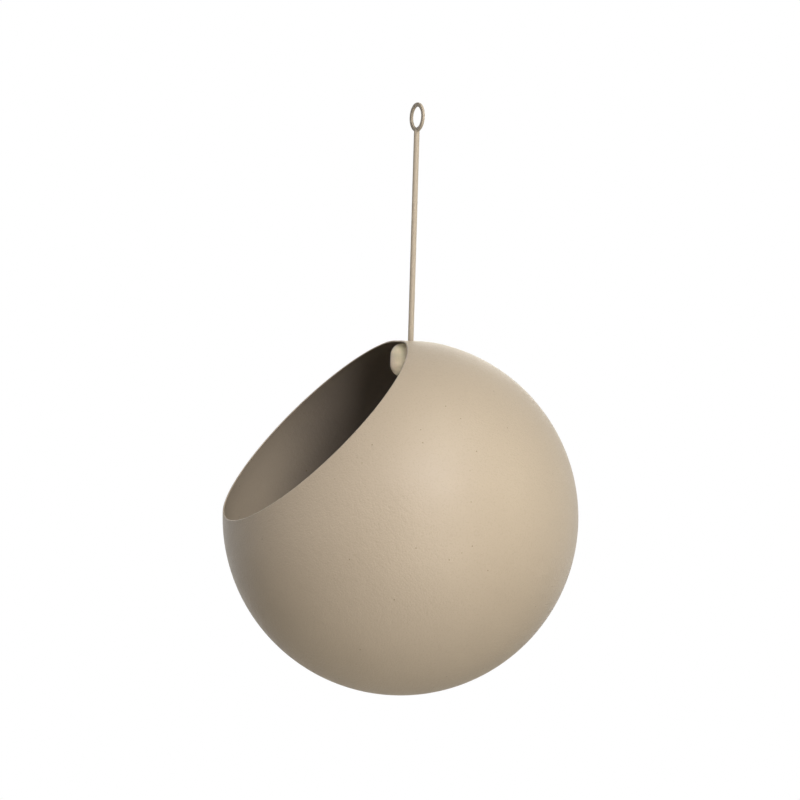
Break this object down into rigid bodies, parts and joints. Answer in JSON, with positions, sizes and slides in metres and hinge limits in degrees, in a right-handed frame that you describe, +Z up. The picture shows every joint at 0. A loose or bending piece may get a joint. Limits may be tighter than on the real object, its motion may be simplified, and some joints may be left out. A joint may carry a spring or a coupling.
{
  "type": "globe hanging planter",
  "caption": "Thin steel globe with a round mouth cut in its shoulder, hung from a slim ringed rod on a round knob that it turns and slides on.",
  "frame": {"origin": "centre of the hanging ring's eye", "axes": "+Z up along the rod, +X along the eye's axis and away from the globe's mouth, which faces -X and up, turned 8 degrees on the rod"},
  "size_m": [0.1699, 0.1699, 0.2834],
  "materials": {
    "coated_globe": "fine-textured matt powder coat, taupe",
    "coated_hanger": "matt powder coat, taupe",
    "coated_knob": "smooth satin powder coat, taupe",
    "washer": "natural nylon"
  },
  "bodies": {
    "hanger": {"hanging_ring": "coated_hanger", "hanger_rod": "coated_hanger", "knob": "coated_knob"},
    "bearing": {"seat_washer": "washer"},
    "globe": {"globe_shell": "coated_globe"}
  },
  "joints": [
    {"name": "globe_swivel", "type": "hinge", "parent": "hanger", "child": "bearing", "pos_m": [0, 0, -0.1081], "axis": [0, 0, 1], "continuous": true},
    {"name": "globe_lift", "type": "slide", "parent": "bearing", "child": "globe", "axis": [0, 0, 1], "range_m": [0, 0.098]}
  ]
}
